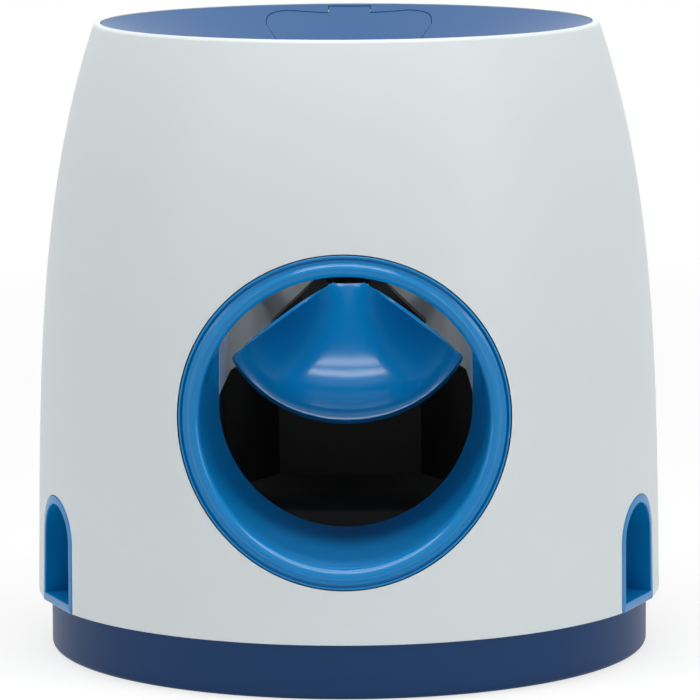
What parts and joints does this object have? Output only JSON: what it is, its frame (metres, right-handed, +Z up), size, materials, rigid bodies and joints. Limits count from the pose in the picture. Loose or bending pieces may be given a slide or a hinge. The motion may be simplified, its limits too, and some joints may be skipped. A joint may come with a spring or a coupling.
{
  "type": "treat dispenser",
  "caption": "Barrel-shaped dog treat dispenser: a ball dropped in the top funnel tips a scoop, rolls out of the front port and turns a dosing drum, so treats slide to side outlets.",
  "frame": {"origin": "middle of the footprint, on the ground under the feet", "axes": "+Z up, -Y out of the ball port, +X to the right of someone facing the port"},
  "size_m": [0.175, 0.1756, 0.175],
  "materials": {
    "shell_plastic": "satin",
    "blue_plastic": "gloss",
    "dish_plastic": "satin",
    "navy_plastic": "satin",
    "black_plastic": "matte",
    "milky_plastic": "satin",
    "steel": "plated",
    "rubber": "matte"
  },
  "bodies": {
    "casing": {"body_shell": "shell_plastic", "top_funnel": "dish_plastic", "lid_pin": "steel", "port_ring": "blue_plastic", "ball_shaft": "shell_plastic", "ball_chamber": "black_plastic", "axle_bushes": "milky_plastic", "return_spring": "steel", "drum_bushes": "milky_plastic", "treat_hopper": "milky_plastic", "hopper_screws": "steel", "chute_left": "milky_plastic", "chute_right": "milky_plastic", "outlet_left": "blue_plastic", "outlet_right": "blue_plastic", "base_tray": "navy_plastic", "rubber_feet": "rubber", "base_screws": "steel", "chamber_screws": "steel", "shaft_screws": "steel"},
    "paddle": {"ball_paddle": "blue_plastic", "paddle_arm": "black_plastic", "paddle_axle": "steel", "axle_clips": "steel", "sector_gear": "milky_plastic"},
    "drum": {"dosing_drum": "blue_plastic", "drum_axle": "steel", "drum_clips": "steel", "drum_gear": "milky_plastic"},
    "lid": {"hopper_lid": "dish_plastic"}
  },
  "joints": [
    {"name": "paddle_tilt", "type": "hinge", "parent": "casing", "child": "paddle", "pos_m": [0, 0.025, 0.104], "axis": [1, 0, 0], "range_deg": [0, 30], "stiffness_Nm_per_rad": 0.008, "springref_deg": -28.65},
    {"name": "drum_turn", "type": "hinge", "parent": "casing", "child": "drum", "pos_m": [0, 0.058, 0.08619], "axis": [1, 0, 0], "range_deg": [-120, 0]},
    {"name": "lid_hinge", "type": "hinge", "parent": "casing", "child": "lid", "pos_m": [0, 0.0662, 0.17253], "axis": [-1, 0, 0], "range_deg": [0, 100]}
  ],
  "couplings": [
    {"joint": "drum_turn", "follows": "paddle_tilt", "ratio": -4}
  ]
}
